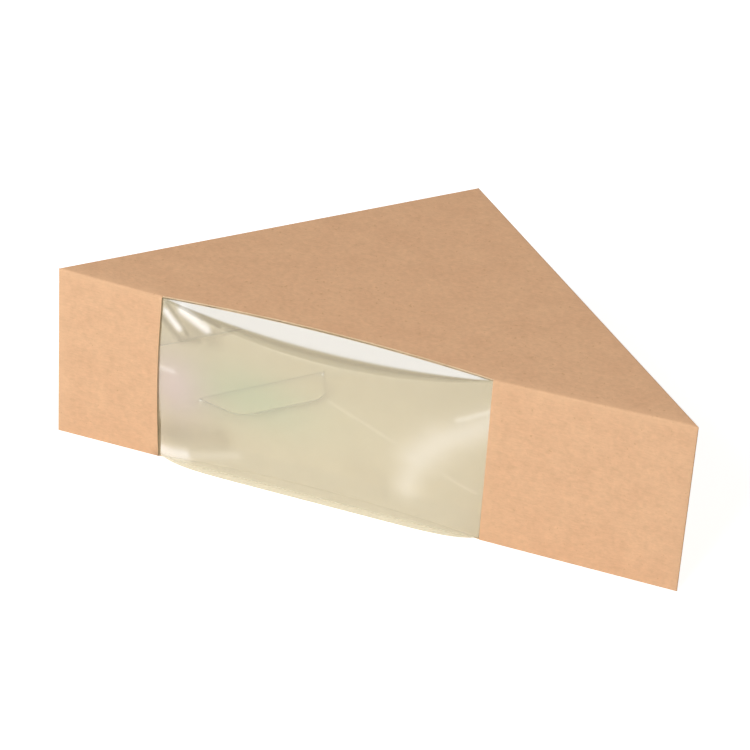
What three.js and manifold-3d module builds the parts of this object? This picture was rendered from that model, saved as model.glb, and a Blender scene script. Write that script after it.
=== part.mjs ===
// Windowed sandwich box: a folded board wedge with a clear film window and a closing lid.
// Millimetres, +Z up. The box lies on its triangular base with the long slanted face to -Y.
// The origin is on the underside, halfway along the front and halfway to the back corner.

import * as THREE from 'three';
import { mergeVertices } from 'three/addons/utils/BufferGeometryUtils.js';
import Module from 'manifold-3d';

const wasm = await Module();
wasm.setup();

// Overall size of the wedge, over the board
const LEG = 125.6; // each short side of the right-angled triangle
const HEIGHT = 52.5; // underside to top
const BOARD = 0.45; // board thickness

// Creases
const FOLD_RADIUS = 0.7; // outside of the creases round the top and the base
const CORNER_RADIUS = 0.35; // outside of the upright creases
const FOLD_STEPS = 5; // facets in each rounded crease

// Window cut-out
const WINDOW_LEFT = 30.3; // board left between the front left corner and the window
const WINDOW_RIGHT = 55.1; // board left between the window and the front right corner
const WINDOW_ARC = 3.7; // how far the cut-out runs into the top and the base
const ARC_STEPS = 24; // facets in that arc

// Film
const FILM = 0.1; // film thickness
const GLUE = 0.05; // glue between the film and the board
const GLUE_MARGIN = 8; // film lapped over the board round the window
const FILM_BULGE = 3.8; // how far the film stands out of the front, under the top at its middle
const FILM_BELLY = 3.6; // how far it stands out of the front, just above the base at its middle
const FILM_EDGE_BEND = 0.6; // outside radius of the film's bends where it is glued
const FILM_UPPER_BEND = 7.5; // outside radius of its bend under the top, at the middle
const FILM_LOWER_BEND = 1.2; // outside radius of its bend above the base, at the middle
const UPPER_FULLNESS = 2; // power of the film's curve across the window, under the top
const LOWER_FULLNESS = 8; // power of that curve above the base: the higher, the squarer its ends
const BEND_STEPS = 8; // facets round each bend of the film
const FILM_STEPS = 28; // strips across the window

// Closing lid and its lock tab
const HINGE_GAP = 0.3; // left open along the lid's crease so that it can turn
const RUN_GAP = 0.3; // clearance between the lid and what it closes on
const TAB_CENTRE = 60.8; // front left corner to the middle of the tab, along the lid
const TAB_ROOT = 37.5; // tab width at the lid
const TAB_TIP = 26; // tab width at its free edge
const TAB_DEPTH = 16; // lid to free edge
const TAB_CORNER = 4.5; // rounding of the free edge's two corners
const TAB_SPRING = 0.5; // degrees that the tab stands above the tilt it needs to swing out

// Flaps behind the walls
const GLUE_FLAP = 15; // width of the two glued flaps
const DUST_FLAP = 26; // length of the two flaps behind the lid
const DUST_MARGIN = 1; // room above the base and below the top at those flaps
const UPSTAND = 22; // height of the base's upstand behind the lid
const FLAP_TAPER = 6; // how much each flap narrows towards its free edge
const FLAP_INSET = 6; // flap ends held back from the corners
const PRESSED = 0.02; // how far two glued faces of the board are pressed into each other

// Places worked out from the sizes above
const WIDTH = LEG * Math.SQRT2;
const DEPTH = LEG * Math.SQRT1_2;
const FRONT = -DEPTH / 2;
const WALL_LAYER = BOARD + RUN_GAP; // outside of the lid to the dust flaps, and wall to the lid's ends
const UPSTAND_LAYER = WALL_LAYER + BOARD; // outside of the lid to the upstand
const WINDOW_START = -WIDTH / 2 + WINDOW_LEFT;
const WINDOW_END = WIDTH / 2 - WINDOW_RIGHT;
const WINDOW_MIDDLE = (WINDOW_START + WINDOW_END) / 2;
const WINDOW_HALF = (WINDOW_END - WINDOW_START) / 2;
const TAB_TILT = Math.asin(TAB_DEPTH / (2 * HEIGHT)) + THREE.MathUtils.degToRad(TAB_SPRING);
const LID_FOOT = BOARD + RUN_GAP - UPSTAND_LAYER * Math.tan(TAB_TILT);
const TAB_ARCH = TAB_DEPTH ** 2 / (8 * HEIGHT); // how far the tab's middle rises as it swings out
const SLOT_TOP = 2 * BOARD + 2 * RUN_GAP + TAB_ARCH + BOARD * Math.tan(TAB_TILT);
const OVERSHOOT = 1; // how far cutters run past what they cut

const UP = new THREE.Vector3(0, 0, 1);
const CORNER_A = new THREE.Vector3(-WIDTH / 2, FRONT, 0); // front left
const CORNER_B = new THREE.Vector3(0, DEPTH / 2, 0); // back, the right angle
const CORNER_C = new THREE.Vector3(WIDTH / 2, FRONT, 0); // front right

// A side of the wedge: its start, direction, length, and inward and outward normals.
function side(start, end) {
  const along = end.clone().sub(start).normalize();
  const inward = along.clone().cross(UP);
  return { start, along, inward, outward: inward.clone().negate(), length: start.distanceTo(end) };
}

const LID_SIDE = side(CORNER_A, CORNER_B);
const WALL_SIDE = side(CORNER_B, CORNER_C);
const FRONT_SIDE = side(CORNER_C, CORNER_A);

// A closed solid from a geometry whose shared vertices are merged.
function solidFrom(geometry) {
  const bare = geometry.index ? geometry.toNonIndexed() : geometry.clone();
  bare.deleteAttribute('normal');
  bare.deleteAttribute('uv');
  const merged = mergeVertices(bare, 1e-5);
  const numProp = 3;
  const vertProperties = new Float32Array(merged.attributes.position.array);
  const triVerts = new Uint32Array(merged.index.array);
  return new wasm.Manifold(new wasm.Mesh({ numProp, vertProperties, triVerts }));
}

function meshFrom(solid, name, material) {
  const { vertProperties, triVerts } = solid.getMesh();
  const geometry = new THREE.BufferGeometry();
  geometry.setAttribute('position', new THREE.BufferAttribute(vertProperties, 3));
  geometry.setIndex(new THREE.BufferAttribute(triVerts, 1));
  geometry.computeVertexNormals();
  const mesh = new THREE.Mesh(geometry, material);
  mesh.name = name;
  return mesh;
}

function outlineShape(points) {
  return new THREE.Shape(points.map(([x, y]) => new THREE.Vector2(x, y)));
}

function extruded(shape, depth, matrix) {
  const geometry = new THREE.ExtrudeGeometry(shape, { depth, bevelEnabled: false, steps: 1 });
  return solidFrom(geometry.applyMatrix4(matrix));
}

// A level piece with the outline given in X and Y, between two heights.
function level(shape, low, high) {
  return extruded(shape, high - low, new THREE.Matrix4().makeTranslation(0, 0, low));
}

// An upright piece on a side of the wedge. Its outline is given along the side and in height,
// and its thickness lies between two depths behind the side's outer face.
function upright(onSide, points, outer, inner) {
  const matrix = new THREE.Matrix4().makeBasis(onSide.along, UP, onSide.inward);
  matrix.setPosition(onSide.start.clone().addScaledVector(onSide.inward, outer));
  return extruded(outlineShape(points), inner - outer, matrix);
}

// Where two sides cross in plan, each moved inwards by its own depth.
function crossing(sideOne, depthOne, sideTwo, depthTwo) {
  const [a, b] = [sideOne.inward, sideTwo.inward];
  const levelOne = sideOne.start.dot(a) + depthOne;
  const levelTwo = sideTwo.start.dot(b) + depthTwo;
  const spread = a.x * b.y - a.y * b.x;
  return [(levelOne * b.y - levelTwo * a.y) / spread, (levelTwo * a.x - levelOne * b.x) / spread];
}

// The wedge's triangle in plan, with each side moved inwards by its own depth.
function triangle(lidDepth, wallDepth, frontDepth) {
  return outlineShape([
    crossing(FRONT_SIDE, frontDepth, LID_SIDE, lidDepth),
    crossing(WALL_SIDE, wallDepth, FRONT_SIDE, frontDepth),
    crossing(LID_SIDE, lidDepth, WALL_SIDE, wallDepth),
  ]);
}

// A flap outline that narrows away from its crease, which runs from start to end at the base.
function flapOutline(start, end, high) {
  return [[start, -OVERSHOOT], [end, -OVERSHOOT], [end - FLAP_TAPER, high], [start + FLAP_TAPER, high]];
}

// The wedge's plan with its three upright creases rounded.
function roundedTriangle() {
  const corners = [
    [FRONT_SIDE, LID_SIDE, CORNER_A], [LID_SIDE, WALL_SIDE, CORNER_B], [WALL_SIDE, FRONT_SIDE, CORNER_C],
  ];
  const points = [];
  for (const [before, after, corner] of corners) {
    const inset = CORNER_RADIUS / (1 + before.outward.dot(after.outward));
    const centre = corner.clone().addScaledVector(before.inward, inset).addScaledVector(after.inward, inset);
    const first = Math.atan2(before.outward.y, before.outward.x);
    const turn = before.outward.angleTo(after.outward);
    for (let i = 0; i <= FOLD_STEPS; i += 1) {
      const angle = first - (turn * i) / FOLD_STEPS;
      points.push([centre.x + CORNER_RADIUS * Math.cos(angle), centre.y + CORNER_RADIUS * Math.sin(angle)]);
    }
  }
  return outlineShape(points);
}

// What a level crease's rounding takes off: a bar along a side with a hollow quarter round.
// The crease lies at a depth and a height, and its material is above it or below it.
// The end facets of the round run on past the two faces that they meet.
function creaseWaste(onSide, depth, height, above, radius) {
  const way = above ? 1 : -1;
  const quarter = [];
  for (let i = 0; i <= FOLD_STEPS; i += 1) {
    const angle = (Math.PI / 2) * (i / FOLD_STEPS);
    quarter.push([radius * (1 - Math.sin(angle)), radius * (1 - Math.cos(angle))]);
  }
  const runOut = (tip, before) => [2 * tip[0] - before[0], 2 * tip[1] - before[1]];
  const outline = [
    [radius, -OVERSHOOT], runOut(quarter[0], quarter[1]), ...quarter.slice(1, FOLD_STEPS),
    runOut(quarter[FOLD_STEPS], quarter[FOLD_STEPS - 1]), [-OVERSHOOT, radius], [-OVERSHOOT, -OVERSHOOT],
  ];
  const shape = outlineShape(outline.map(([inwards, up]) => [depth + inwards, height + way * up]));
  const matrix = new THREE.Matrix4().makeBasis(onSide.inward, UP, onSide.along.clone().negate());
  matrix.setPosition(onSide.start.clone().addScaledVector(onSide.along, onSide.length + OVERSHOOT));
  return extruded(shape, onSide.length + 2 * OVERSHOOT, matrix);
}

// The closed wedge that the folded board fills out, with its creases rounded.
function makeWedge() {
  return level(roundedTriangle(), 0, HEIGHT)
    .subtract(creaseWaste(FRONT_SIDE, 0, HEIGHT, false, FOLD_RADIUS))
    .subtract(creaseWaste(FRONT_SIDE, 0, 0, true, FOLD_RADIUS))
    .subtract(creaseWaste(WALL_SIDE, 0, HEIGHT, false, FOLD_RADIUS));
}

// The window's cut-out: straight through the front, and a shallow arc into the top and the base.
function windowCut() {
  const arcStart = BOARD + GLUE;
  const rise = WINDOW_ARC - arcStart;
  const points = [[WINDOW_START, FRONT - OVERSHOOT], [WINDOW_END, FRONT - OVERSHOOT]];
  for (let i = 0; i <= ARC_STEPS; i += 1) {
    const across = 1 - (2 * i) / ARC_STEPS;
    const x = WINDOW_MIDDLE + across * WINDOW_HALF;
    points.push([x, FRONT + arcStart + rise * (1 - across ** 2)]);
  }
  return level(outlineShape(points), -OVERSHOOT, HEIGHT + OVERSHOOT);
}

// The slot through the foot of the upstand that the lid's tab passes through.
function tabSlot() {
  const start = TAB_CENTRE - TAB_ROOT / 2 - RUN_GAP;
  const end = TAB_CENTRE + TAB_ROOT / 2 + RUN_GAP;
  const outline = [[start, BOARD], [end, BOARD], [end, SLOT_TOP], [start, SLOT_TOP]];
  return upright(LID_SIDE, outline, WALL_LAYER - OVERSHOOT, UPSTAND_LAYER + BOARD + OVERSHOOT);
}

// A panel that covers a whole side of the wedge and runs past it all round.
function wholePanel(onSide) {
  const [low, high, end] = [-OVERSHOOT, HEIGHT + OVERSHOOT, onSide.length + OVERSHOOT];
  return upright(onSide, [[-OVERSHOOT, low], [end, low], [end, high], [-OVERSHOOT, high]], -OVERSHOOT, BOARD);
}

// The flaps behind the walls: two glued inside the right-hand wall and two behind the lid.
function makeFlaps() {
  const low = DUST_MARGIN;
  const high = HEIGHT - DUST_MARGIN;
  const sideFlap = (root, tip) => [
    [root, low], [tip, low + FLAP_TAPER], [tip, high - FLAP_TAPER], [root, high],
  ];
  const baseFlap = flapOutline(FLAP_INSET, LEG - GLUE_FLAP - FLAP_INSET, GLUE_FLAP);
  return upright(WALL_SIDE, sideFlap(LEG, LEG - GLUE_FLAP), BOARD - PRESSED, 2 * BOARD)
    .add(upright(WALL_SIDE, baseFlap, BOARD - PRESSED, 2 * BOARD))
    .add(upright(LID_SIDE, sideFlap(0, DUST_FLAP), WALL_LAYER, UPSTAND_LAYER + PRESSED))
    .add(upright(LID_SIDE, sideFlap(LEG, LEG - DUST_FLAP), WALL_LAYER, UPSTAND_LAYER + PRESSED));
}

// The base with its upstand, folded up behind the lid.
function makeBase(wedge) {
  const base = level(triangle(UPSTAND_LAYER + PRESSED, BOARD - PRESSED, -OVERSHOOT), -OVERSHOOT, BOARD);
  const outline = flapOutline(FLAP_INSET, LEG - FLAP_INSET, UPSTAND);
  const upstand = upright(LID_SIDE, outline, UPSTAND_LAYER, UPSTAND_LAYER + BOARD);
  const fold = creaseWaste(LID_SIDE, UPSTAND_LAYER, 0, true, CORNER_RADIUS);
  return base.add(upstand).intersect(wedge).subtract(fold);
}

// The folded carton, without its lid.
function makeCarton() {
  const wedge = makeWedge();
  const top = level(triangle(HINGE_GAP, -OVERSHOOT, -OVERSHOOT), HEIGHT - BOARD, HEIGHT + OVERSHOOT);
  return wholePanel(FRONT_SIDE)
    .add(wholePanel(WALL_SIDE))
    .add(top)
    .add(makeFlaps())
    .intersect(wedge)
    .add(makeBase(wedge))
    .subtract(windowCut())
    .subtract(tabSlot());
}

// The outline of the lock tab: along the lid, and away from it, starting inside the lid.
function tabShape() {
  const root = TAB_ROOT / 2;
  const tip = TAB_TIP / 2;
  const slant = Math.hypot(root - tip, TAB_DEPTH);
  const [slantX, slantY] = [(root - tip) / slant, TAB_DEPTH / slant];
  const shape = new THREE.Shape();
  shape.moveTo(-root, BOARD / 2);
  shape.lineTo(root, BOARD / 2);
  shape.lineTo(tip + slantX * TAB_CORNER, TAB_DEPTH - slantY * TAB_CORNER);
  shape.quadraticCurveTo(tip, TAB_DEPTH, tip - TAB_CORNER, TAB_DEPTH);
  shape.lineTo(TAB_CORNER - tip, TAB_DEPTH);
  shape.quadraticCurveTo(-tip, TAB_DEPTH, -tip - slantX * TAB_CORNER, TAB_DEPTH - slantY * TAB_CORNER);
  return shape;
}

// The lid with its tab, which is folded in over the base.
function makeLid() {
  const lidTop = HEIGHT - BOARD - HINGE_GAP;
  const outline = [[0, LID_FOOT], [LEG, LID_FOOT], [LEG, lidTop], [0, lidTop]];
  const between = level(triangle(-OVERSHOOT, WALL_LAYER, WALL_LAYER), 0, HEIGHT);
  const panel = upright(LID_SIDE, outline, 0, BOARD).intersect(between);

  const reach = LID_SIDE.inward.clone().multiplyScalar(Math.cos(TAB_TILT));
  reach.addScaledVector(UP, Math.sin(TAB_TILT));
  const under = LID_SIDE.along.clone().cross(reach);
  const seat = LID_SIDE.start.clone().addScaledVector(LID_SIDE.along, TAB_CENTRE);
  seat.addScaledVector(UP, LID_FOOT);
  seat.addScaledVector(under, -BOARD);
  const matrix = new THREE.Matrix4().makeBasis(LID_SIDE.along, reach, under).setPosition(seat);
  const tab = extruded(tabShape(), BOARD, matrix);
  return panel.add(tab);
}

// How far the film has left the board at a place across the window: 0 at its edges, 1 at its middle.
function filmFreedom(x, fullness) {
  const across = Math.min(Math.abs(x - WINDOW_MIDDLE) / WINDOW_HALF, 1);
  return 1 - across ** fullness;
}

// One strip line of the film at x, from its edge under the top to its edge on the base.
function filmLine(x, depthInFilm) {
  const seat = BOARD + GLUE;
  const back = FRONT + WINDOW_ARC + GLUE_MARGIN;
  const bend = (bulge, middleRadius, free, level, way) => {
    const face = FRONT + seat - (seat + bulge) * free + depthInFilm;
    const radius = THREE.MathUtils.lerp(FILM_EDGE_BEND, middleRadius, free) - depthInFilm;
    const points = [];
    for (let i = 0; i <= BEND_STEPS; i += 1) {
      const angle = (Math.PI / 2) * (i / BEND_STEPS);
      const y = face + radius * (1 - Math.sin(angle));
      points.push(new THREE.Vector3(x, y, level + way * radius * (1 - Math.cos(angle))));
    }
    return points;
  };
  const high = HEIGHT - seat - depthInFilm;
  const low = seat + depthInFilm;
  const upper = bend(FILM_BULGE, FILM_UPPER_BEND, filmFreedom(x, UPPER_FULLNESS), high, -1);
  const lower = bend(FILM_BELLY, FILM_LOWER_BEND, filmFreedom(x, LOWER_FULLNESS), low, 1).reverse();
  return [new THREE.Vector3(x, back, high), ...upper, ...lower, new THREE.Vector3(x, back, low)];
}

// The film: a grid of strips with an outer and an inner skin, closed round its rim.
function makeFilm() {
  const stations = [WINDOW_START - GLUE_MARGIN];
  for (let i = 0; i <= FILM_STEPS; i += 1) {
    stations.push(THREE.MathUtils.lerp(WINDOW_START, WINDOW_END, i / FILM_STEPS));
  }
  stations.push(WINDOW_END + GLUE_MARGIN);

  const outer = stations.map((x) => filmLine(x, 0));
  const inner = stations.map((x) => filmLine(x, FILM));
  const rows = stations.length;
  const columns = outer[0].length;
  const positions = [];
  const quad = (a, b, c, d) => {
    for (const point of [a, b, c, a, c, d]) {
      positions.push(point.x, point.y, point.z);
    }
  };
  for (let row = 0; row + 1 < rows; row += 1) {
    for (let column = 0; column + 1 < columns; column += 1) {
      const [r, c] = [row + 1, column + 1];
      quad(outer[row][column], outer[row][c], outer[r][c], outer[r][column]);
      quad(inner[row][column], inner[r][column], inner[r][c], inner[row][c]);
    }
    for (const [column, flip] of [[0, false], [columns - 1, true]]) {
      const rim = [outer[row][column], outer[row + 1][column], inner[row + 1][column], inner[row][column]];
      quad(...(flip ? rim.reverse() : rim));
    }
  }
  for (const [row, flip] of [[0, true], [rows - 1, false]]) {
    for (let column = 0; column + 1 < columns; column += 1) {
      const rim = [outer[row][column], outer[row][column + 1], inner[row][column + 1], inner[row][column]];
      quad(...(flip ? rim.reverse() : rim));
    }
  }
  const geometry = new THREE.BufferGeometry();
  geometry.setAttribute('position', new THREE.Float32BufferAttribute(positions, 3));
  return solidFrom(geometry);
}

const kraft = new THREE.MeshStandardMaterial({ color: 0xd6a97f, roughness: 0.85, metalness: 0 });
const kraftLid = new THREE.MeshStandardMaterial({ color: 0xcfa27c, roughness: 0.85, metalness: 0 });
const clearFilm = new THREE.MeshStandardMaterial({
  color: 0xf3f1e6, roughness: 0.08, metalness: 0, transparent: true, opacity: 0.3,
});

const box = new THREE.Group();
box.name = 'windowed_sandwich_box';
box.add(meshFrom(makeCarton(), 'carton', kraft));
box.add(meshFrom(makeLid(), 'closing_lid', kraftLid));
box.add(meshFrom(makeFilm(), 'window_film', clearFilm));

export default box;
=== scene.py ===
# Looks of the windowed sandwich box: its board, film, lid crease, floor, light and camera.
# Lengths are metres in the model's own frame.
import math

import bmesh
import bpy
from mathutils import Matrix, Vector, noise
from mathutils.bvhtree import BVHTree


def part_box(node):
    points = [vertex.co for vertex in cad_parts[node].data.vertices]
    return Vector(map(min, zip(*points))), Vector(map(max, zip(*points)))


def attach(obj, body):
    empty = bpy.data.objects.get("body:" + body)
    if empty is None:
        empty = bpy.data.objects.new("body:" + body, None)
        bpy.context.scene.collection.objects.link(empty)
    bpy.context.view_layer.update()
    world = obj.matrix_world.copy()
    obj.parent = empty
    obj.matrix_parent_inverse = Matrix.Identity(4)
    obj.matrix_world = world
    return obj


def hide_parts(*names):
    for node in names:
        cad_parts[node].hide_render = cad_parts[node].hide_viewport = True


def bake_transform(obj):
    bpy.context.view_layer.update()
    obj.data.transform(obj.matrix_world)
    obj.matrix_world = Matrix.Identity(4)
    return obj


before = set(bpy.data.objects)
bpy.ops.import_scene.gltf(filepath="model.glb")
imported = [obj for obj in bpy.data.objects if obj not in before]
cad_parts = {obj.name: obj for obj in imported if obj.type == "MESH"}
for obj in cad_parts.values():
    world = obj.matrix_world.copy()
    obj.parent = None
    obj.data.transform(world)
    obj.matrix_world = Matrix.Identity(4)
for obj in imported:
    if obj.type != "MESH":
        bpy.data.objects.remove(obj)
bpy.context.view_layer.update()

MM = 0.001

# Sizes read from the frame
CARTON_LOW, CARTON_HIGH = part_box("carton")
FILM_LOW, FILM_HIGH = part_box("window_film")
HEIGHT = CARTON_HIGH.z
FRONT = CARTON_LOW.y
DEPTH = -2 * FRONT
HALF_WIDTH = DEPTH
LEG = DEPTH * math.sqrt(2)
LID_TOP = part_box("closing_lid")[1].z

# Sizes of the board, the glue and the film, as in the solids
BOARD = 0.45 * MM
FILM = 0.1 * MM
GLUE = 0.05 * MM
GLUE_MARGIN = 8 * MM
WINDOW_ARC = 3.7 * MM
HINGE_GAP = 0.3 * MM
FILM_BULGE = 3.8 * MM
FILM_BELLY = 3.6 * MM
FILM_EDGE_BEND = 0.6 * MM
FILM_UPPER_BEND = 7.5 * MM
FILM_LOWER_BEND = 1.2 * MM

# How far the handled box has sagged and bowed
TOP_SAG = 1.5 * MM
FILM_DROOP = 0.8 * MM
EDGE_BOW = 0.8 * MM
EDGE_BOW_WIDTH = 7 * MM

# Places of the window and its film
WINDOW_START = FILM_LOW.x + GLUE_MARGIN
WINDOW_END = FILM_HIGH.x - GLUE_MARGIN
WINDOW_MIDDLE = (WINDOW_START + WINDOW_END) / 2
WINDOW_HALF = (WINDOW_END - WINDOW_START) / 2
FILM_SEAT = BOARD + GLUE
UPPER_FULLNESS = 2
LOWER_FULLNESS = 8

# Grid that the board is cut into so that it can bend
BOARD_GRID = 4 * MM

# Directions in plan: along the lid side from the front left corner, and outwards from that side
LID_ALONG = Vector((1, 1, 0)).normalized()
LID_OUT = Vector((-1, 1, 0)).normalized()
CORNER_A = Vector((-HALF_WIDTH, FRONT, 0))
CAVITY = Vector((0, FRONT + 0.36 * DEPTH, HEIGHT / 2))


def linear(red, green, blue):
    """A colour from its 0 to 255 screen values."""
    values = []
    for value in (red, green, blue):
        share = value / 255
        values.append(share / 12.92 if share <= 0.04045 else ((share + 0.055) / 1.055) ** 2.4)
    return (*values, 1)


def depth_in(point):
    """How far a point lies inside the lid's outer plane."""
    return -(point - CORNER_A).dot(LID_OUT)


def sag(point):
    """How far a point of the resting box has moved from its flat place, in height."""
    from_lid = depth_in(point) / LEG
    from_wall = 1 - (point - CORNER_A).dot(LID_ALONG) / LEG
    # The share is 1 at the middle of the long front edge and 0 along both short sides.
    share = max(0.0, 4 * from_lid * from_wall)
    level = min(max(point.z / HEIGHT, 0), 1)
    return -share * TOP_SAG * level


def edge_bow(point):
    """How far the board beside the window's left edge has bowed sideways."""
    if point.y > FRONT + FILM_SEAT:
        return 0.0
    near = math.exp(-((point.x - WINDOW_START) / EDGE_BOW_WIDTH) ** 2)
    return -EDGE_BOW * near * math.sin(math.pi * min(max(point.z / HEIGHT, 0), 1))


def link(piece):
    bpy.context.scene.collection.objects.link(piece)
    return piece


def smooth(mesh, degrees):
    """Smooth shading that keeps edges sharper than the angle."""
    mesh.polygons.foreach_set("use_smooth", [True] * len(mesh.polygons))
    mesh.set_sharp_from_angle(angle=math.radians(degrees))


# Board

# Sides of the board; the last is a cut edge in core brown, darkened as painted shade
OUTSIDE, INSIDE, EDGE, SHADED_BROWN_EDGE = 0, 1, 2, 3
TWO_SHEETS = 2.6 * BOARD
LID_SHEET = 1.2 * BOARD
LID_AND_FLAPS = 4 * BOARD
FOLD_DEPTH = 0.55 * BOARD
RAY_START = 0.02 * BOARD
SHARP_ON_CARTON = 35
SHARP_ON_LID = 5
FLAT = 0.995
MERGE = 2e-6
PANEL_NORMALS = [
    Vector((0, 0, 1)), Vector((0, 0, -1)), Vector((0, -1, 0)), Vector((0, 1, 0)),
    LID_OUT, -LID_OUT, LID_ALONG, -LID_ALONG,
]
OUTER_PLANES = [
    (Vector((0, 0, 1)), HEIGHT),
    (Vector((0, 0, -1)), 0),
    (Vector((0, -1, 0)), -FRONT),
    (LID_ALONG, CORNER_A.dot(LID_ALONG) + LEG),
]


def cut_grid(bm, low, high):
    """Cuts a mesh along planes a grid step apart in all three directions."""
    for axis in range(3):
        normal = Vector([1 if i == axis else 0 for i in range(3)])
        steps = int((high[axis] - low[axis]) / BOARD_GRID)
        for i in range(1, steps + 1):
            place = Vector(low)
            place[axis] += i * (high[axis] - low[axis]) / (steps + 1)
            geometry = bm.verts[:] + bm.edges[:] + bm.faces[:]
            bmesh.ops.bisect_plane(bm, geom=geometry, plane_co=place, plane_no=normal, dist=1e-7)


def on_outer_plane(normal, place):
    """Whether a face lies in the outer plane of the top, the base, the front or the back wall."""
    for outwards, distance in OUTER_PLANES:
        if normal.dot(outwards) > 0.6 and distance - place.dot(outwards) < FOLD_DEPTH:
            return True
    return False


def sort_faces(bm):
    """Gives each face its side of the board: kraft outside, coated inside, or cut edge, darker brown by
    the lid side as painted shade.
    """
    tree = BVHTree.FromBMesh(bm)
    for face in bm.faces:
        centre = face.calc_center_median()
        depth = depth_in(centre)
        hit = tree.ray_cast(centre - face.normal * RAY_START, -face.normal, TWO_SHEETS)
        on_lid_side = depth < LID_SHEET and face.normal.dot(LID_OUT) > 0.1
        if on_lid_side or on_outer_plane(face.normal, centre):
            face.material_index = OUTSIDE
        elif hit[0] is None:
            face.material_index = SHADED_BROWN_EDGE if depth < LID_AND_FLAPS else EDGE
        elif face.normal.dot(centre - CAVITY) > 0:
            face.material_index = OUTSIDE
        else:
            face.material_index = INSIDE


def sort_lid_faces(bm):
    """Does the same for the lid, where the tab's two sides are its top and its bottom, and its cut edges
    are darker brown as painted shade.
    """
    for face in bm.faces:
        on_panel = depth_in(face.calc_center_median()) < LID_SHEET
        facing = face.normal.dot(LID_OUT) if on_panel else -face.normal.z
        if abs(facing) < 0.7:
            face.material_index = SHADED_BROWN_EDGE
        else:
            face.material_index = OUTSIDE if facing > 0 else INSIDE


def flatness(face):
    """1 on a face that lies square with one of the panels, less on a rounded fold."""
    return max(face.normal.dot(normal) for normal in PANEL_NORMALS)


def board_piece(node, name, sort, bends, sharp):
    """The node's board, cut fine and bent, with its outside, inside and edges told apart."""
    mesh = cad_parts[node].data.copy()
    mesh.materials.clear()
    bm = bmesh.new()
    bm.from_mesh(mesh)
    bmesh.ops.remove_doubles(bm, verts=bm.verts, dist=MERGE)
    bmesh.ops.dissolve_limit(bm, angle_limit=math.radians(0.5), verts=bm.verts, edges=bm.edges)
    cut_grid(bm, *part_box(node))
    bmesh.ops.triangulate(bm, faces=bm.faces[:])
    bm.normal_update()
    sort(bm)
    crease = bm.verts.layers.float.new("crease")
    for vertex in bm.verts:
        folded = min(flatness(face) for face in vertex.link_faces) < FLAT
        vertex[crease] = 1.0 if folded else 0.0
    if bends:
        for vertex in bm.verts:
            vertex.co.x += edge_bow(vertex.co)
            vertex.co.z += sag(vertex.co)
    bm.to_mesh(mesh)
    bm.free()
    smooth(mesh, sharp)
    piece = link(bpy.data.objects.new(name, mesh))
    for material in (kraft, lining, cut_edge, shaded_brown_edge):
        mesh.materials.append(material)
    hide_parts(node)
    return piece


# Materials

def new_material(name):
    material = bpy.data.materials.new(name)
    material.use_nodes = True
    material.node_tree.nodes.clear()
    return material, material.node_tree.nodes, material.node_tree.links


def noise_node(nodes, links, vector, scale, detail, roughness=0.5):
    node = nodes.new("ShaderNodeTexNoise")
    node.inputs["Scale"].default_value = scale
    node.inputs["Detail"].default_value = detail
    node.inputs["Roughness"].default_value = roughness
    links.new(vector, node.inputs["Vector"])
    return node.outputs["Fac"]


def ramp_node(nodes, links, factor, stops):
    """A colour ramp through (place, colour) stops."""
    node = nodes.new("ShaderNodeValToRGB")
    elements = node.color_ramp.elements
    while len(elements) < len(stops):
        elements.new(0.5)
    for element, (place, colour) in zip(elements, stops):
        element.position = place
        element.color = colour
    links.new(factor, node.inputs["Fac"])
    return node.outputs["Color"]


def mix_colour(nodes, links, factor, first, second, blend="MIX"):
    node = nodes.new("ShaderNodeMix")
    node.data_type = "RGBA"
    node.blend_type = blend
    for value, socket in ((factor, node.inputs[0]), (first, node.inputs[6]), (second, node.inputs[7])):
        if isinstance(value, bpy.types.NodeSocket):
            links.new(value, socket)
        else:
            socket.default_value = value
    return node.outputs[2]


def map_range(nodes, links, value, low, high, out_low, out_high):
    node = nodes.new("ShaderNodeMapRange")
    for socket, number in zip(list(node.inputs)[1:5], (low, high, out_low, out_high)):
        socket.default_value = number
    links.new(value, node.inputs[0])
    return node.outputs[0]


def math_node(nodes, links, operation, first, second):
    node = nodes.new("ShaderNodeMath")
    node.operation = operation
    for value, socket in ((first, node.inputs[0]), (second, node.inputs[1])):
        if isinstance(value, bpy.types.NodeSocket):
            links.new(value, socket)
        else:
            socket.default_value = value
    return node.outputs[0]


def attribute_node(nodes, name, output="Fac"):
    node = nodes.new("ShaderNodeAttribute")
    node.attribute_name = name
    return node.outputs[output]


# Scales of the board's pulp in repeats per metre, and the tones that it gives the colour
CLOUD_SCALE = 140
PULP_SCALE = 620
FLECK_SCALE = 900
FIBRE_SCALES = (700, 2600, 2600)
PULP_TONES = [(0.3, (0.93, 0.925, 0.92, 1)), (0.7, (1.03, 1.03, 1.03, 1))]
FIBRE_TONES = [(0.32, (0.94, 0.93, 0.92, 1)), (0.62, (1.02, 1.02, 1.02, 1))]


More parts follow.
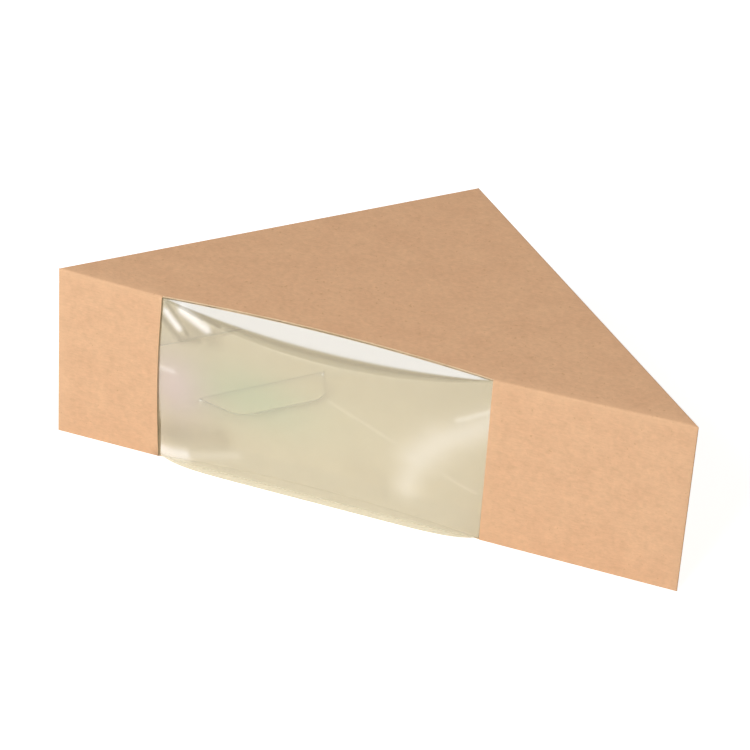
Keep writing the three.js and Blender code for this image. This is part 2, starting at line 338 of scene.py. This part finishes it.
def board_material(name, pale, deep, fleck, roughness, grain):
    """Board with cloudy pulp, fine fibres and a few flecks, all in the size of real pulp.

    The grain is how much of the pulp shows: 1 on bare board, less through a coating.
    """
    material, nodes, links = new_material(name)
    shader = nodes.new("ShaderNodeBsdfPrincipled")
    output = nodes.new("ShaderNodeOutputMaterial")
    links.new(shader.outputs[0], output.inputs["Surface"])
    place = nodes.new("ShaderNodeTexCoord").outputs["Object"]

    cloud = noise_node(nodes, links, place, CLOUD_SCALE, 4, 0.6)
    pulp = noise_node(nodes, links, place, PULP_SCALE, 3, 0.6)
    stretch = nodes.new("ShaderNodeMapping")
    stretch.inputs["Scale"].default_value = FIBRE_SCALES
    links.new(place, stretch.inputs["Vector"])
    fibre = noise_node(nodes, links, stretch.outputs[0], 1, 3, 0.7)

    colour = ramp_node(nodes, links, cloud, [(0.3, deep), (0.7, pale)])
    for pattern, tones in ((pulp, PULP_TONES), (fibre, FIBRE_TONES)):
        tone = ramp_node(nodes, links, pattern, tones)
        toned = mix_colour(nodes, links, 1.0, colour, tone, "MULTIPLY")
        colour = mix_colour(nodes, links, grain, colour, toned)
    flecks = noise_node(nodes, links, place, FLECK_SCALE, 1)
    specks = map_range(nodes, links, flecks, 0.71, 0.76, 0.0, 0.35 * grain)
    colour = mix_colour(nodes, links, specks, colour, fleck)

    worn = attribute_node(nodes, "crease")
    wear = map_range(nodes, links, worn, 0.0, 1.0, 0.0, 0.35 * grain)
    colour = mix_colour(nodes, links, wear, colour, pale)
    links.new(colour, shader.inputs["Base Color"])

    rough = map_range(nodes, links, pulp, 0.3, 0.7, roughness - 0.06, roughness + 0.06)
    links.new(rough, shader.inputs["Roughness"])
    shader.inputs["Specular IOR Level"].default_value = 0.3
    bump = nodes.new("ShaderNodeBump")
    bump.inputs["Strength"].default_value = 0.22 * grain
    bump.inputs["Distance"].default_value = 0.05 * MM
    links.new(fibre, bump.inputs["Height"])
    soft = nodes.new("ShaderNodeBump")
    soft.inputs["Strength"].default_value = 0.25 * grain
    soft.inputs["Distance"].default_value = 0.12 * MM
    links.new(pulp, soft.inputs["Height"])
    links.new(bump.outputs[0], soft.inputs["Normal"])
    links.new(soft.outputs[0], shader.inputs["Normal"])
    return material


# Least and most haze of the film, and how its gloss grows from face on to sideways
LEAST_HAZE, MOST_HAZE = 0.175, 0.19
GLOSS_FACING, GLOSS_SIDEWAYS = 0.15, 0.9
GLOSS_POWER = 3.5
GLOSS_TINT = (1, 0.925, 0.74, 1)
# Tint that the gloss takes where it carries painted highlights
SHEEN_TINT = (1, 0.975, 0.925, 1)


def film_material():
    """Clear film: see-through and glossy, with the tints, painted shade, haze, painted reflection and
    painted highlights that its marks give it.
    """
    material, nodes, links = new_material("clear_film")
    output = nodes.new("ShaderNodeOutputMaterial")
    place = nodes.new("ShaderNodeTexCoord").outputs["Object"]

    clear = nodes.new("ShaderNodeBsdfTransparent")
    # The see-through tint, darkened where painted shade falls
    links.new(attribute_node(nodes, "clear_tint_and_painted_shade", "Color"), clear.inputs["Color"])
    veil = nodes.new("ShaderNodeBsdfDiffuse")
    links.new(attribute_node(nodes, "veil_and_painted_reflection_tint", "Color"), veil.inputs["Color"])
    streaks = noise_node(nodes, links, place, 160, 3)
    streaks = map_range(nodes, links, streaks, 0.4, 0.7, LEAST_HAZE, MOST_HAZE)
    # The film's own haze, plus the painted reflection and pink haze held at its points
    haze_and_painted_reflection = math_node(nodes, links, "ADD", streaks, attribute_node(nodes, "haze_and_painted_reflection"))
    hazy = nodes.new("ShaderNodeMixShader")
    links.new(haze_and_painted_reflection, hazy.inputs[0])
    links.new(clear.outputs[0], hazy.inputs[1])
    links.new(veil.outputs[0], hazy.inputs[2])

    slant = nodes.new("ShaderNodeLayerWeight")
    slant.inputs["Blend"].default_value = 0.5
    steep = math_node(nodes, links, "POWER", slant.outputs["Facing"], GLOSS_POWER)
    gloss = map_range(nodes, links, steep, 0.0, 1.0, GLOSS_FACING, GLOSS_SIDEWAYS)
    # The shine attribute holds painted highlights, which add to the gloss and whiten its tint
    sheen = attribute_node(nodes, "shine")
    gloss = math_node(nodes, links, "ADD", gloss, sheen)
    shine = nodes.new("ShaderNodeBsdfGlossy")
    whiteness = map_range(nodes, links, sheen, 0.0, 0.2, 0.0, 1.0)
    tone = mix_colour(nodes, links, whiteness, GLOSS_TINT, SHEEN_TINT)
    links.new(tone, shine.inputs["Color"])
    roughness = map_range(nodes, links, noise_node(nodes, links, place, 90, 2), 0.3, 0.7, 0.03, 0.07)
    links.new(roughness, shine.inputs["Roughness"])
    free = nodes.new("ShaderNodeMixShader")
    links.new(gloss, free.inputs[0])
    links.new(hazy.outputs[0], free.inputs[1])
    links.new(shine.outputs[0], free.inputs[2])

    glued = nodes.new("ShaderNodeBsdfTransparent")
    mixed = nodes.new("ShaderNodeMixShader")
    links.new(attribute_node(nodes, "glued"), mixed.inputs[0])
    links.new(free.outputs[0], mixed.inputs[1])
    links.new(glued.outputs[0], mixed.inputs[2])
    links.new(mixed.outputs[0], output.inputs["Surface"])
    return material


kraft = board_material(
    "kraft_outside", linear(234, 190, 150), linear(228, 183, 144), linear(184, 136, 96), 0.78, 1.0)
lining = board_material(
    "coated_inside", linear(253, 242, 214), linear(251, 239, 209), linear(226, 208, 176), 0.6, 0.3)
cut_edge = board_material(
    "cut_edge", linear(232, 206, 172), linear(216, 186, 150), linear(176, 140, 104), 0.85, 0.8)
# Cut edges by the lid side: the board's core brown, darkened as painted shade
shaded_brown_edge = board_material(
    "shaded_brown_edge", linear(150, 122, 88), linear(132, 104, 74), linear(110, 82, 56), 0.85, 0.8)
clear_film = film_material()

# Film

ACROSS_STEPS = 190
BEND_STEPS = 20
FACE_STEPS = 80
LAP_STEPS = 4
LAP_END = 0.1 * MM
SIDE_SEAM = 1 * MM
FILM_SHARP = 40


def film_freedom(x, fullness=UPPER_FULLNESS):
    """0 where the film is glued beside the window, 1 at the window's middle."""
    across = min(abs(x - WINDOW_MIDDLE) / WINDOW_HALF, 1)
    return 1 - across ** fullness


def board_edge(x):
    """How far back the window's cut runs into the top and the base."""
    return FRONT + FILM_SEAT + (WINDOW_ARC - FILM_SEAT) * film_freedom(x)


# Waves of the film: repeats per metre across and upwards, place in the noise, and size
WAVES = [(22, 30, 0.7, 0.35 * MM), (60, 55, 3.1, 0.06 * MM)]


def ripple(x, z, free):
    """Small waves of the film out of its smooth surface, as a distance outwards."""
    arch = math.sin(math.pi * min(max(z / HEIGHT, 0), 1))
    slack = min(1.0, 3 * free) * arch ** 0.6
    wave = 0
    for across, up, place, size in WAVES:
        wave += size * noise.noise(Vector((x * across, z * up, place)))
    return wave * slack - FILM_DROOP * free * arch


def bell(value, middle, width):
    """A soft bump that is 1 at the middle and has faded to nothing at about twice the width."""
    return math.exp(-((value - middle) / width) ** 2)


def step_down(value, edge, width):
    """1 well below the edge, 0 well above it, with a smooth change over the width."""
    share = min(max((value - edge) / width + 0.5, 0), 1)
    return 1 - share * share * (3 - 2 * share)


def upper_turn(x, drop):
    """How far round its upper bend the film lies at a drop below its upper lap, in degrees."""
    radius = FILM_EDGE_BEND + (FILM_UPPER_BEND - FILM_EDGE_BEND) * film_freedom(x)
    return math.degrees(math.acos(min(max(1 - drop / radius, -1), 1)))


# Marks on the film in millimetres from the window's left edge and from the base:
# (x, z) at the two ends of each mark, its width and its strength.
# Painted shade darkens what shows through the film at its folds and in its shaded corners, and painted
# glints and painted reflections of lamps whiten it.
PAINTED_SHADES = [
    ((1.5, 49.8), (7.9, 42.7), 0.8, 0.7),
    ((4.6, 50.8), (17.0, 48.0), 0.8, 0.6),
    ((-0.3, 45.0), (6.0, 40.3), 1.2, 0.6),
    ((3.0, 46.5), (15.0, 44.3), 3.2, 0.36),
    ((6.0, 40.4), (11.5, 42.0), 1.2, 0.5),
    ((11.5, 42.0), (22.0, 48.4), 0.6, 0.3),
    ((0.0, 9.5), (19.0, 13.6), 3.5, 0.32),
    ((58.0, 15.5), (66.0, 13.0), 4.0, 0.08),
]
# Painted glints
GLINTS = [
    ((1.2, 47.2), (5.2, 43.7), 1.0, 0.45),
    ((6.0, 49.3), (13.4, 46.2), 1.3, 0.45),
    ((0.0, 2.8), (9.0, 5.0), 1.8, 0.26),
    ((9.0, 5.0), (24.0, 9.5), 1.3, 0.07),
    ((-0.3, 29.0), (4.0, 29.6), 0.8, 0.12),
]
# Painted reflections of a lamp, and a thin painted highlight along a crease
GLOWS = [
    ((93.0, 37.5), (80.0, 29.5), 4.4, 0.13),
    ((80.0, 29.5), (74.0, 22.5), 5.2, 0.13),
    ((74.0, 22.5), (72.0, 13.5), 4.0, 0.11),
    ((93.0, 41.5), (84.0, 37.0), 1.0, 0.16),
    ((49.0, 34.3), (68.7, 25.9), 0.45, 0.05),
    ((68.7, 25.9), (90.7, 15.1), 0.45, 0.05),
]
PINK_MIDDLE, PINK_SIZE = (5.0, 26.0), (9.0, 9.5)
GREEN_MIDDLE, GREEN_SIZE = (27.0, 29.0), (17.0, 9.0)

# Painted shade in a band at one turn of the upper bend, in degrees, and a painted highlight above another
SHADE_TURN, SHADE_WIDTH, SHADE_STRENGTH = 57, 6.5, 0.55
SHEEN_TURN, SHEEN_WIDTH, SHEEN_STRENGTH = 47, 7, 0.6

# Painted reflection of the base, as haze just above the base, and a little haze and painted sheen in the
# pink patch
BELLY_HEIGHT = 2.6 * MM
BELLY_FADE = 2.5 * MM
BELLY_PAINTED_REFLECTION = 0.5
PINK_HAZE = 0.03
PINK_SHEEN = 0.04

# Tints of what shows through the film and of its haze; the shaded tint is painted shade and the lower
# bend's tint a painted reflection of the base
CLEAR = Vector((0.99, 0.985, 0.965))
SHADED_CLEAR = Vector((0.52, 0.45, 0.36))
GREEN_CLEAR = Vector((0.88, 0.985, 0.93))
VEIL = Vector((1.0, 0.92, 0.7))
PINK_VEIL = Vector((1.0, 0.72, 0.86))
GREEN_VEIL = Vector((0.86, 1.0, 0.8))
BELLY_REFLECTION_TINT = Vector((0.9, 0.82, 0.62))
GREEN_CLEAR_SHARE = 0.9
GREEN_VEIL_SHARE = 0.4


def mark(x, z, start, end, width):
    """How strongly a point lies on a mark that fades out round the line between two points."""
    line = Vector(end) - Vector(start)
    along = (Vector((x, z)) - Vector(start)).dot(line) / line.length_squared
    nearest = Vector(start) + line * min(max(along, 0), 1)
    return bell((Vector((x, z)) - nearest).length, 0, width)


def strongest(x, z, marks):
    return max(strength * mark(x, z, start, end, width) for start, end, width, strength in marks)


def patch(x, z, middle, size):
    return bell(x, middle[0], size[0]) * bell(z, middle[1], size[1])


def film_look(point):
    """The film's look at a point: its clear tint with painted shade, veil tint, haze with painted
    reflection, painted sheen and whether it is glued.
    """
    flat_z = point.z - sag(point)
    outside = abs(point.x - WINDOW_MIDDLE) - WINDOW_HALF
    free = film_freedom(point.x)
    on_board = flat_z < 1.5 * FILM_SEAT or flat_z > HEIGHT - 1.5 * FILM_SEAT
    if outside > 1.1 * SIDE_SEAM or (on_board and point.y > board_edge(point.x) - LAP_END / 2):
        return (1, 1, 1, 1), (1, 1, 1, 1), 0.0, 0.0, 1.0

    x = (point.x - WINDOW_START) / MM
    z = point.z / MM
    turn = upper_turn(point.x, HEIGHT - FILM_SEAT - flat_z)
    spread = min(1, 5 * free)
    # Painted shade in a band under the upper bend
    shade = SHADE_STRENGTH * bell(turn, SHADE_TURN, SHADE_WIDTH) * spread
    # More painted shade at the folds and in the shaded corners
    shade = max(shade, strongest(x, z, PAINTED_SHADES))
    # Painted reflection of the base on the film's lower bend
    full = film_freedom(point.x, LOWER_FULLNESS)
    lower = step_down(flat_z, BELLY_HEIGHT * full, BELLY_FADE) * min(1, 3 * full)
    # Painted glints and painted lamp reflections
    glint = strongest(x, z, GLINTS)
    glow = strongest(x, z, GLOWS)
    pink = patch(x, z, PINK_MIDDLE, PINK_SIZE)
    green = patch(x, z, GREEN_MIDDLE, GREEN_SIZE)

    clear = CLEAR.lerp(SHADED_CLEAR, shade).lerp(GREEN_CLEAR, GREEN_CLEAR_SHARE * green)
    veil = VEIL.lerp(PINK_VEIL, pink).lerp(GREEN_VEIL, GREEN_VEIL_SHARE * green)
    veil = veil.lerp(BELLY_REFLECTION_TINT, lower)
    haze_and_painted_reflection = PINK_HAZE * pink + BELLY_PAINTED_REFLECTION * lower
    # Painted highlight along the upper bend, with the painted glints, lamp reflections and the pink
    # patch's painted sheen
    sheen = SHEEN_STRENGTH * step_down(turn, SHEEN_TURN, SHEEN_WIDTH) * spread
    sheen += glint + glow + PINK_SHEEN * pink
    return (*clear, 1), (*veil, 1), haze_and_painted_reflection, sheen, 0.0


def film_bend(free, bulge, middle_radius, inset, level, way):
    """The film's bend away from a level lap, upwards or downwards, as places in depth and height."""
    face = FRONT + FILM_SEAT - (FILM_SEAT + bulge) * free + inset
    radius = FILM_EDGE_BEND + (middle_radius - FILM_EDGE_BEND) * free - inset
    places = []
    for i in range(BEND_STEPS + 1):
        angle = math.pi / 2 * i / BEND_STEPS
        depth = face + radius * (1 - math.sin(angle))
        places.append((depth, level + way * radius * (1 - math.cos(angle))))
    return places


def film_line(x, inset):
    """One line of the film from its edge under the top, round the front, to its edge on the base."""
    free = film_freedom(x)
    back = FILM_HIGH.y
    high = HEIGHT - FILM_SEAT - inset
    low = FILM_SEAT + inset
    upper = film_bend(free, FILM_BULGE, FILM_UPPER_BEND, inset, high, -1)
    full = film_freedom(x, LOWER_FULLNESS)
    lower = film_bend(full, FILM_BELLY, FILM_LOWER_BEND, inset, low, 1)[::-1]
    edge = board_edge(x)
    lap = [back + (edge - back) * i / LAP_STEPS for i in range(LAP_STEPS + 1)]
    path = [(y, high) for y in lap] + [(edge - LAP_END, high)] + upper
    for i in range(1, FACE_STEPS):
        share = i / FACE_STEPS
        path.append([a + (b - a) * share for a, b in zip(upper[-1], lower[0])])
    path += lower + [(edge - LAP_END, low)] + [(y, low) for y in reversed(lap)]
    line = []
    for y, z in path:
        if y < edge - LAP_END:
            y -= ripple(x, z, free)
        point = Vector((x, y, z))
        point.z += sag(point)
        line.append(point)
    return line


def film_piece():
    """The film as two skins a film's thickness apart, with its look stored at each point."""
    stations = [FILM_LOW.x, (FILM_LOW.x + WINDOW_START) / 2, WINDOW_START - SIDE_SEAM]
    for i in range(ACROSS_STEPS + 1):
        stations.append(WINDOW_START + (WINDOW_END - WINDOW_START) * i / ACROSS_STEPS)
    stations += [WINDOW_END + SIDE_SEAM, (WINDOW_END + FILM_HIGH.x) / 2, FILM_HIGH.x]
    bm = bmesh.new()
    skins = []
    for inset in (0, FILM):
        skins.append([[bm.verts.new(point) for point in film_line(x, inset)] for x in stations])
    outer, inner = skins
    rows, columns = len(outer), len(outer[0])

    def close_rim(first, second):
        """One face of the sheet's edge, between two neighbouring places on both skins."""
        (a, b), (c, d) = first, second
        bm.faces.new([outer[a][b], outer[c][d], inner[c][d], inner[a][b]])

    for row in range(rows - 1):
        for column in range(columns - 1):
            ring = [(row, column), (row, column + 1), (row + 1, column + 1), (row + 1, column)]
            bm.faces.new([outer[r][c] for r, c in ring])
            bm.faces.new([inner[r][c] for r, c in reversed(ring)])
        for column in (0, columns - 1):
            close_rim((row, column), (row + 1, column))
    for row in (0, rows - 1):
        for column in range(columns - 1):
            close_rim((row, column), (row, column + 1))
    bmesh.ops.recalc_face_normals(bm, faces=bm.faces[:])
    mesh = bpy.data.meshes.new("film_sheet")
    bm.to_mesh(mesh)
    bm.free()
    looks = list(zip(*(film_look(vertex.co) for vertex in mesh.vertices)))
    for name, values in zip(("clear_tint_and_painted_shade", "veil_and_painted_reflection_tint"), looks[:2]):
        channels = [channel for value in values for channel in value]
        mesh.attributes.new(name, "FLOAT_COLOR", "POINT").data.foreach_set("color", channels)
    for name, values in zip(("haze_and_painted_reflection", "shine", "glued"), looks[2:]):
        mesh.attributes.new(name, "FLOAT", "POINT").data.foreach_set("value", values)
    smooth(mesh, FILM_SHARP)
    mesh.materials.append(clear_film)
    piece = link(bpy.data.objects.new("film_sheet", mesh))
    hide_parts("window_film")
    return piece


# Lid crease

CREASE_STEPS = 6
CREASE_LENGTH_STEPS = 60
CREASE_START = 1.15 * MM
CREASE_LENGTH = LEG - 2.0 * MM
CREASE_RADIUS = HINGE_GAP + 0.17 * MM
CREASE_LAP = 0.05 * MM


def crease_piece():
    """The folded strip that joins the top to the lid, as thick as the board."""
    start = CORNER_A + LID_ALONG * CREASE_START
    section = []
    for step in range(CREASE_STEPS + 1):
        angle = math.pi / 2 * step / CREASE_STEPS
        depth = CREASE_RADIUS * (1 - math.sin(angle))
        section.append((depth, HEIGHT - CREASE_RADIUS * (1 - math.cos(angle))))
    section += [(0, LID_TOP - CREASE_LAP), (BOARD, LID_TOP - CREASE_LAP)]
    section += [(BOARD, HEIGHT - BOARD), (CREASE_RADIUS, HEIGHT - BOARD)]
    bm = bmesh.new()
    rings = []
    for i in range(CREASE_LENGTH_STEPS + 1):
        along = start + LID_ALONG * (CREASE_LENGTH * i / CREASE_LENGTH_STEPS)
        rings.append([bm.verts.new(along - LID_OUT * u + Vector((0, 0, z))) for u, z in section])
    count = len(rings[0])
    for first, second in zip(rings, rings[1:]):
        for i in range(count):
            j = (i + 1) % count
            bm.faces.new([first[i], first[j], second[j], second[i]])
    bm.faces.new(rings[0])
    bm.faces.new(rings[-1])
    bmesh.ops.recalc_face_normals(bm, faces=bm.faces[:])
    mesh = bpy.data.meshes.new("lid_crease")
    bm.to_mesh(mesh)
    bm.free()
    smooth(mesh, SHARP_ON_CARTON)
    mesh.materials.append(kraft)
    piece = link(bpy.data.objects.new("lid_crease", mesh))
    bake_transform(piece)


carton = board_piece("carton", "carton_board", sort_faces, True, SHARP_ON_CARTON)
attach(carton, "box")
lid = board_piece("closing_lid", "lid_board", sort_lid_faces, False, SHARP_ON_LID)
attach(lid, "lid")
film = film_piece()
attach(film, "box")
crease_piece()

# Floor, light and camera

PICTURE = 750
FLOOR_HALF = 3.0
FLOOR_GREY = 0.86
FLOOR_GLOW = 0.7
SURROUND_TINT = (1, 0.97, 0.94, 1)
SURROUND_STRENGTH = 0.2
FOCAL_PIXELS = 3345.6
SENSOR = 36
EYE = Vector((0.224879, -0.688876 + FRONT, 0.526799))
VIEW_RIGHT = Vector((0.9377609, 0.34276706, 0.05581431))
VIEW_UP = Vector((-0.23436075, 0.50601187, 0.83007652))


def make_camera():
    """The camera that the five visible corners of the box in the photo were fitted to."""
    data = bpy.data.cameras.new("camera")
    data.sensor_width = SENSOR
    data.lens = FOCAL_PIXELS / PICTURE * SENSOR
    data.clip_start = 0.05
    data.clip_end = 20
    camera = link(bpy.data.objects.new("camera", data))
    back = VIEW_RIGHT.cross(VIEW_UP)
    turn = Matrix((VIEW_RIGHT, VIEW_UP, back)).transposed()
    camera.matrix_world = Matrix.Translation(EYE) @ turn.to_4x4()
    bpy.context.scene.camera = camera


def make_floor():
    """A wide pale floor that shows white to the camera where nothing shades it."""
    mesh = bpy.data.meshes.new("floor")
    corners = [(-1, -1), (1, -1), (1, 1), (-1, 1)]
    mesh.from_pydata([(FLOOR_HALF * x, FLOOR_HALF * y, 0) for x, y in corners], [], [(0, 1, 2, 3)])
    material, nodes, links = new_material("floor")
    output = nodes.new("ShaderNodeOutputMaterial")
    diffuse = nodes.new("ShaderNodeBsdfDiffuse")
    diffuse.inputs["Color"].default_value = (FLOOR_GREY, FLOOR_GREY, FLOOR_GREY, 1)
    glow = nodes.new("ShaderNodeEmission")
    glow.inputs["Strength"].default_value = FLOOR_GLOW
    both = nodes.new("ShaderNodeAddShader")
    links.new(diffuse.outputs[0], both.inputs[0])
    links.new(glow.outputs[0], both.inputs[1])
    path = nodes.new("ShaderNodeLightPath")
    seen = math_node(nodes, links, "MAXIMUM", path.outputs["Is Camera Ray"], path.outputs["Is Glossy Ray"])
    seen = math_node(nodes, links, "MAXIMUM", seen, path.outputs["Is Transmission Ray"])
    mixed = nodes.new("ShaderNodeMixShader")
    links.new(seen, mixed.inputs[0])
    links.new(diffuse.outputs[0], mixed.inputs[1])
    links.new(both.outputs[0], mixed.inputs[2])
    links.new(mixed.outputs[0], output.inputs["Surface"])
    mesh.materials.append(material)
    floor = link(bpy.data.objects.new("floor", mesh))


def softbox(name, place, target, width, height, power, colour=(1, 1, 1)):
    """A soft rectangular lamp that shines from its place at the target and shows in no reflection."""
    data = bpy.data.lights.new(name, "AREA")
    data.shape = "RECTANGLE"
    data.size = width
    data.size_y = height
    data.energy = power
    data.color = colour
    lamp = link(bpy.data.objects.new(name, data))
    lamp.location = place
    lamp.rotation_mode = "QUATERNION"
    lamp.rotation_quaternion = (Vector(target) - Vector(place)).to_track_quat("-Z", "Y")
    lamp.visible_glossy = False


def make_world():
    """A soft even surround, shown to the camera and in reflections as plain white."""
    world = bpy.data.worlds.new("surround")
    bpy.context.scene.world = world
    world.use_nodes = True
    nodes, links = world.node_tree.nodes, world.node_tree.links
    nodes.clear()
    output = nodes.new("ShaderNodeOutputWorld")
    soft = nodes.new("ShaderNodeBackground")
    soft.inputs["Color"].default_value = SURROUND_TINT
    soft.inputs["Strength"].default_value = SURROUND_STRENGTH
    white = nodes.new("ShaderNodeBackground")
    white.inputs["Color"].default_value = (1, 1, 1, 1)
    white.inputs["Strength"].default_value = 1
    path = nodes.new("ShaderNodeLightPath")
    mixed = nodes.new("ShaderNodeMixShader")
    seen = math_node(nodes, links, "MAXIMUM", path.outputs["Is Camera Ray"], path.outputs["Is Glossy Ray"])
    links.new(seen, mixed.inputs[0])
    links.new(soft.outputs[0], mixed.inputs[1])
    links.new(white.outputs[0], mixed.inputs[2])
    links.new(mixed.outputs[0], output.inputs["Surface"])


make_camera()
make_floor()
make_world()
softbox("key", (-0.5, -1.38, 0.95), (0, 0, 0.02), 0.9, 0.9, 22)
softbox("overhead", (0.3, 0.2, 1.2), (0, 0, 0), 0.9, 0.9, 3.1, (1, 0.9, 0.84))
softbox("side", (-0.45, -0.4, 0.04), (-0.075, -0.044, 0.02), 0.15, 0.1, 0.1)

bpy.context.scene.view_settings.view_transform = "Standard"
